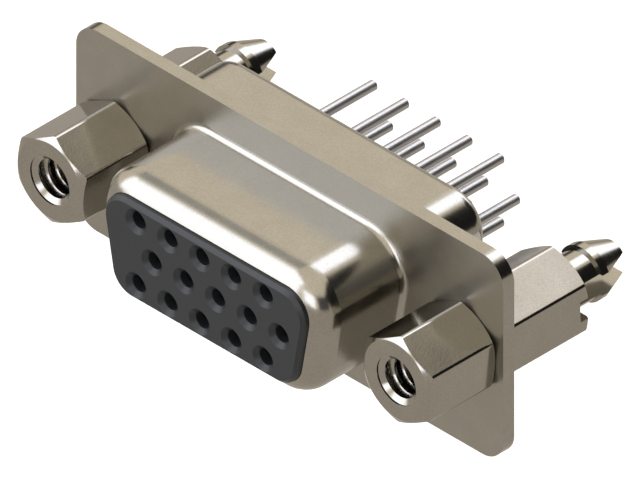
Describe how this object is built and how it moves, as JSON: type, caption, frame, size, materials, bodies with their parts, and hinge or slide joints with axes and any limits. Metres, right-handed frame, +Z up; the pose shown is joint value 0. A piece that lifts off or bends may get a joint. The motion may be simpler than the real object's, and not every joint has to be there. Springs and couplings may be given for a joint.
{
  "type": "d-sub connector",
  "caption": "High-density D-subminiature socket connector with a flanged metal shell, female screwlocks, board locks and straight board tails in staggered rows.",
  "frame": {"origin": "middle of the flange's front face", "axes": "+X to the right along the flange seen from the front, +Y back towards the circuit board, +Z up towards the wide side of the D"},
  "size_m": [0.0308, 0.0173, 0.0126],
  "materials": {
    "plated_shell": "satin nickel plating on drawn steel sheet",
    "plated_turned": "bright nickel plating on turned brass",
    "insulator": "moulded, matt dark grey",
    "contact": "bright tin plating"
  },
  "bodies": {
    "root": {"front_shell": "plated_shell", "rear_shell": "plated_shell", "screwlock_left": "plated_turned", "screwlock_right": "plated_turned", "board_lock_left": "plated_turned", "board_lock_right": "plated_turned", "front_insulator": "insulator", "rear_insulator": "insulator", "contact_01": "contact", "contact_02": "contact", "contact_03": "contact", "contact_04": "contact", "contact_05": "contact", "contact_06": "contact", "contact_07": "contact", "contact_08": "contact", "contact_09": "contact", "contact_10": "contact", "contact_11": "contact", "contact_12": "contact", "contact_13": "contact", "contact_14": "contact", "contact_15": "contact"}
  },
  "joints": []
}
